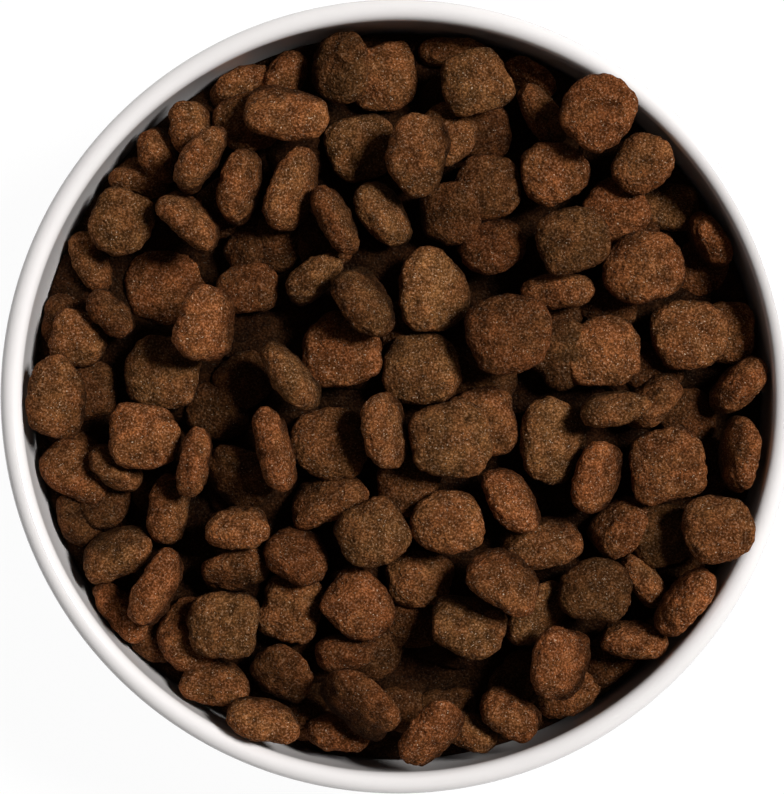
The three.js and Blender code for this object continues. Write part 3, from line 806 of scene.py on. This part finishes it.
def solid_corners(size, around, rings):
    """Corners of a kibble's solid: a ball of a few rings, drawn out to the same pillow. It is
    made a little wider, so that its flat sides enclose what the smooth outline does."""
    turn, down = np.meshgrid(np.arange(around) * 2 * np.pi / around, np.arange(rings + 1) * np.pi / rings)
    ring_reach = 1 if rings % 2 == 0 else np.cos(np.pi / 2 / rings)
    widest = ring_reach * np.sqrt(np.cos(np.pi / around))
    spread = (np.abs(np.sin(down)) / widest) ** (2 / SECTION_FULLNESS) / 2

    def signed_power(value, power):
        return np.sign(value) * np.abs(value) ** power

    return np.stack(
        [
            size[0] * spread * signed_power(np.cos(turn), 2 / USUAL_SQUARENESS),
            size[1] * spread * signed_power(np.sin(turn), 2 / USUAL_SQUARENESS),
            size[2] / 2 * signed_power(np.cos(down), 2 / SECTION_FULLNESS),
        ],
        axis=2,
    ).reshape(-1, 3)


def bed_height(spots):
    """Height of the filling in millimetres under each spot, or a very low one beside it"""
    hits = (bed_tree.ray_cast(Vector((*spot, HIGH_ABOVE)), Vector((0, 0, -1)))[0] for spot in spots * MM)
    return np.array([NOTHING_BELOW if hit is None else hit.z / MM for hit in hits])


def dome_height(reach):
    """The low dome that the highest fused kibbles end on"""
    return BOWL_HEIGHT - FILL_AT_WALL + HEAP_CROWN * (1 - (reach / RIM_RADIUS) ** 2)


def settled(row, axes, size, depth, facets):
    """The kibble's middle after it has come down, up to 12 mm further in than its row says"""
    points = solid_corners(size, *facets) @ axes
    start = np.array(row[:2], float) * PLACE_SHARE
    for slide in np.arange(SLIDE_STEPS) * SLIDE_STEP:
        place = start - slide * start / np.linalg.norm(start)
        gaps = bed_height(place + points[:, :2] * INSIDE_SHARE) - points[:, 2]
        room = gaps[gaps > NOTHING_BELOW / 10].min()
        level = dome_height(np.linalg.norm(place)) - depth - points[:, 2].max()
        height = min(room, level)
        reach = np.linalg.norm(place + points[:, :2], axis=1)
        wall = np.interp(points[:, 2] + height, wall_inside[:, 1], wall_inside[:, 0], right=NO_WALL)
        if np.all(reach < wall - WALL_ROOM):
            break
    return np.array([*place, height])


# %% Pieces of many kibbles
MIDDLE_CELLS = 22
DEEP_CELLS = 16
STREWN_CELLS = 14
MIDDLE_FACETS = (8, 4)
LOW_FACETS = (6, 3)
DEEP_LAYER = 0.85 * KIBBLE_THICKNESS
STREWN_LAYER = 1.2 * KIBBLE_THICKNESS
# painted shade: lightness share of each layer, darker the lower it lies
MIDDLE_PAINTED_SHADE = 0.94
DEEP_PAINTED_SHADE = 0.42
STREWN_PAINTED_SHADE = 0.12
LOWER_STREWN_ONES = (22, 30)
LOWER_BY = 3.5


def add_layer(name, rows, numbers, cells, facets, depth, seed, share, lowered=()):
    """Joins kibbles from rows into one piece, settled at a depth under the dome. Their numbers
    pick their looks, and the share darkens all of them as painted shade, the lower layers the
    most, because little light reaches them. The lowered ones lie deeper."""
    layer_directions, layer_quads = ball_of_squares(cells)
    layer_axes, layer_sizes = axes_from(rows)
    lies = zip(rows, layer_axes, layer_sizes)
    layer_middles = np.array([settled(row, axes, size, depth, facets) for row, axes, size in lies])
    layer_middles[list(lowered), 2] -= LOWER_BY
    squareness = np.array([row[6] if len(row) > 6 else USUAL_SQUARENESS for row in rows])
    points, hollow = kibble_surface(layer_directions, layer_sizes, squareness, seed)
    points = placed(points, layer_axes, layer_middles) * MM
    count = len(layer_directions)
    all_quads = layer_quads[None] + (np.arange(len(rows)) * count)[:, None, None]
    piece = add_piece(
        name, points.reshape(-1, 3), [all_quads.reshape(-1, 4)], "kibble_bed", baked_kibble
    )
    lightness, hue = looks(numbers, MIDDLE_PALE_ONES, MIDDLE_DARK_ONES, MIDDLE_RED_ONES,
                           MIDDLE_GREENISH_ONES, seed)
    hue = hue[:, None] - REDDER_SIDES * side_share(layer_directions)
    # lightness with painted shade: the layer's share, and each kibble darker towards its lower half
    lightness = lightness[:, None] * share * painted_skirt_shade(points)
    add_tint(piece, lightness.ravel(), hue.ravel(), hollow.ravel())
    print(name, "kibbles:", len(rows), "faces:", len(piece.data.polygons))


half_way = len(MIDDLE_KIBBLES) // 2
middle_numbers = range(len(MIDDLE_KIBBLES))
ordinary = range(100, 200)
add_layer("fused_kibbles_1", MIDDLE_KIBBLES[:half_way], middle_numbers[:half_way], MIDDLE_CELLS,
          MIDDLE_FACETS, depth=0, seed=31, share=MIDDLE_PAINTED_SHADE)
add_layer("fused_kibbles_2", MIDDLE_KIBBLES[half_way:], middle_numbers[half_way:], MIDDLE_CELLS,
          MIDDLE_FACETS, depth=0, seed=32, share=MIDDLE_PAINTED_SHADE)
add_layer("fused_kibbles_3", DEEP_KIBBLES, ordinary[:len(DEEP_KIBBLES)], DEEP_CELLS,
          LOW_FACETS, DEEP_LAYER, seed=33, share=DEEP_PAINTED_SHADE)
add_layer("fused_kibbles_4", strewn_kibbles, ordinary[:STREWN_COUNT], STREWN_CELLS,
          LOW_FACETS, STREWN_LAYER, seed=34, share=STREWN_PAINTED_SHADE, lowered=LOWER_STREWN_ONES)

# %% [markdown]
# ## The food out of sight
# Below the strewn kibbles nobody sees single pieces. One turned surface closes the filling
# there: it follows the bowl's inside and ends in the same low dome, a little deeper down.
# Hills are pushed into it as well, so that no smooth face shows through a gap. Round the
# kibble that lies deepest it has a hollow, or it would cover that kibble.

# %% The core of the filling
CORE_DEPTH = 1.6 * KIBBLE_THICKNESS
CORE_STEPS = 120
DOME_STEPS = 40
CORE_HILLS = ((6.0, 1.0, 41), (2.5, 0.5, 42))
CORE_LUMP = 0.6
# painted shade: the core is tinted nearly black, as little light reaches it
CORE_PAINTED_SHADE_LIGHTNESS = 0.06
CORE_HOLLOW = 0.6
HOLLOW_BY_HILLS = 0.4
DEEPEST_KIBBLE = (-41.1, 19.6)
HOLLOW_DEPTH = 3.4
HOLLOW_REACH = 11.0


def core_profile():
    """Rows of radius and height: the wall's inside moved in by a little, then the dome"""
    top = dome_height(RIM_RADIUS) - CORE_DEPTH
    side = wall_inside[wall_inside[:, 1] < top] - (WALL_ROOM, 0)
    side[:, 1] += WALL_ROOM
    reach = np.linspace(side[-1, 0], 0, DOME_STEPS)[1:]
    dome = np.stack([reach, dome_height(reach) - CORE_DEPTH], axis=1)
    return np.concatenate([[[0, side[0, 1]]], side, dome])


core_points, core_faces = turned_surface(core_profile(), CORE_STEPS)
core_lumps = sum(height * hills(core_points / MM, size, seed) for size, height, seed in CORE_HILLS)
on_dome = core_points[:, 2] / MM > dome_height(RIM_RADIUS) - CORE_DEPTH
apart = np.linalg.norm(core_points[:, :2] / MM - DEEPEST_KIBBLE, axis=1)
hollow = HOLLOW_DEPTH * np.exp(-((apart / HOLLOW_REACH) ** 2))
core_points[:, 2] += np.where(on_dome, core_lumps * CORE_LUMP - hollow, 0) * MM
core = add_piece("filling_core", core_points, core_faces, "kibble_bed", baked_kibble)
everywhere = np.ones(len(core_points))
core_hollow = np.clip(CORE_HOLLOW - core_lumps * HOLLOW_BY_HILLS, 0, 1)
# the core's nearly black tint is painted shade
add_tint(core, everywhere * CORE_PAINTED_SHADE_LIGHTNESS, everywhere * BROWN, core_hollow)
print("faces of the core:", len(core.data.polygons))

# %% [markdown]
# ## Table and background
# The bowl stands on plain white. A floor that is lit to pure white would throw too much light
# back, so for the camera, and for reflections, the floor shines by itself almost to white, and
# the rest comes from the lamp. That keeps the bowl's shadow on it. The world does the same:
# white where it is seen, and dim where it lights the food. It is brighter near the horizon, as
# a studio with pale walls and a dark ceiling is. That reaches the lip and the outside of the
# bowl, but not the gaps in the heap, which are nearly black.

# %% Floor and world
OWN_SHINE = 0.965
LIT_SHARE = 0.06
HORIZON_SKY = 0.6
OVERHEAD_SKY = 0.02
HORIZON_BAND = 0.4
WHITE = (1, 1, 1, 1)
PLAIN_FLOOR = (0.7, 0.7, 0.7, 1)
FLOOR_HALF = 3.0
FLOOR_DROP = -0.02 * MM


def seen_directly(tree):
    """1 for what the camera sees itself, in a reflection or through glass, else 0"""
    path = add_node(tree, "ShaderNodeLightPath").outputs
    seen = combine(tree, "MAXIMUM", path["Is Camera Ray"], path["Is Glossy Ray"])
    return combine(tree, "MAXIMUM", seen, path["Is Transmission Ray"])


def floor_material():
    """Almost white by itself where it is seen, and plain grey where it only throws light back"""
    material, tree = new_material("white table")
    shine = add_node(tree, "ShaderNodeEmission", {"Color": WHITE, "Strength": OWN_SHINE})
    lit = add_node(tree, "ShaderNodeBsdfDiffuse", {"Color": (LIT_SHARE, LIT_SHARE, LIT_SHARE, 1)})
    seen = add_node(tree, "ShaderNodeAddShader", {0: shine.outputs[0], 1: lit.outputs[0]})
    plain = add_node(tree, "ShaderNodeBsdfDiffuse", {"Color": PLAIN_FLOOR})
    inputs = {0: seen_directly(tree), 1: plain.outputs[0], 2: seen.outputs[0]}
    finish_material(tree, add_node(tree, "ShaderNodeMixShader", inputs).outputs[0])
    return material


floor_mesh = bpy.data.meshes.new("table")
square = ((-1, -1), (1, -1), (1, 1), (-1, 1))
floor_corners = [(x * FLOOR_HALF, y * FLOOR_HALF, FLOOR_DROP) for x, y in square]
floor_mesh.from_pydata(floor_corners, [], [(0, 1, 2, 3)])
floor_mesh.materials.append(floor_material())
floor = bpy.data.objects.new("table", floor_mesh)
bpy.context.scene.collection.objects.link(floor)

world = bpy.data.worlds.new("studio")
bpy.context.scene.world = world
world.use_nodes = True
sky = world.node_tree
sky.nodes.clear()
direction = add_node(sky, "ShaderNodeTexCoord").outputs["Generated"]
upwards = add_node(sky, "ShaderNodeSeparateXYZ", {0: direction}).outputs["Z"]
strength = change_range(sky, upwards, 0, HORIZON_BAND, HORIZON_SKY, OVERHEAD_SKY)
dim = add_node(sky, "ShaderNodeBackground", {"Color": WHITE, "Strength": strength})
bright = add_node(sky, "ShaderNodeBackground", {"Color": WHITE, "Strength": 1.0})
sky_inputs = {0: seen_directly(sky), 1: dim.outputs[0], 2: bright.outputs[0]}
seen_sky = add_node(sky, "ShaderNodeMixShader", sky_inputs)
add_node(sky, "ShaderNodeOutputWorld", {"Surface": seen_sky.outputs[0]})
print("sky strength overhead and at the horizon:", OVERHEAD_SKY, HORIZON_SKY)

# %% [markdown]
# ## The key light
# One lamp stands to the right and a little behind, somewhat higher than it is far away. The right
# wall of the bowl shades itself and the kibbles next to it, the left wall is lit, and each
# kibble has a bright right edge and a black gap on its left. A Sun lamp gives the same light
# all over the bowl, and its angle says how soft the edges of the shadows are. Its strength is
# set so that a face that looks at the lamp shows its colour about as it is written.

# %% Key light
KEY_FROM = 22.0
KEY_HEIGHT = 52.0
KEY_STRENGTH = 3.5
KEY_SOFTNESS = 16.0

key_data = bpy.data.lights.new("key", "SUN")
key_data.energy = KEY_STRENGTH
key_data.angle = np.radians(KEY_SOFTNESS)
key = bpy.data.objects.new("key", key_data)
bpy.context.scene.collection.objects.link(key)
key.rotation_euler = (0, np.radians(90 - KEY_HEIGHT), np.radians(KEY_FROM))
print("key light from", KEY_FROM, "degrees, height", KEY_HEIGHT)

# %% [markdown]
# ## The camera
# The photographer looked straight down. The rim fills the picture from top to bottom, and its
# right end is cut off, so the middle of the picture lies a little left of the bowl's axis.
# A camera without rotation looks along -Z in Blender, with +Y up. Where the rim's level is
# one camera distance away, the picture is as high as the rim is wide.

# %% Camera
PICTURE_HEIGHT = 2 * RIM_RADIUS * MM
CAMERA_DISTANCE = 0.7
LEFT_OF_AXIS = -0.97 * MM
BELOW_AXIS = -0.09 * MM
SENSOR = 36.0

camera_data = bpy.data.cameras.new("camera")
camera_data.sensor_fit = "AUTO"
camera_data.sensor_width = SENSOR
camera_data.lens = SENSOR * CAMERA_DISTANCE / PICTURE_HEIGHT
camera = bpy.data.objects.new("camera", camera_data)
camera.location = (LEFT_OF_AXIS, BELOW_AXIS, (BOWL_HEIGHT - LIP_RADIUS) * MM + CAMERA_DISTANCE)
bpy.context.scene.collection.objects.link(camera)
bpy.context.scene.camera = camera
bpy.context.scene.view_settings.view_transform = "Standard"
print("lens:", round(camera_data.lens, 1))
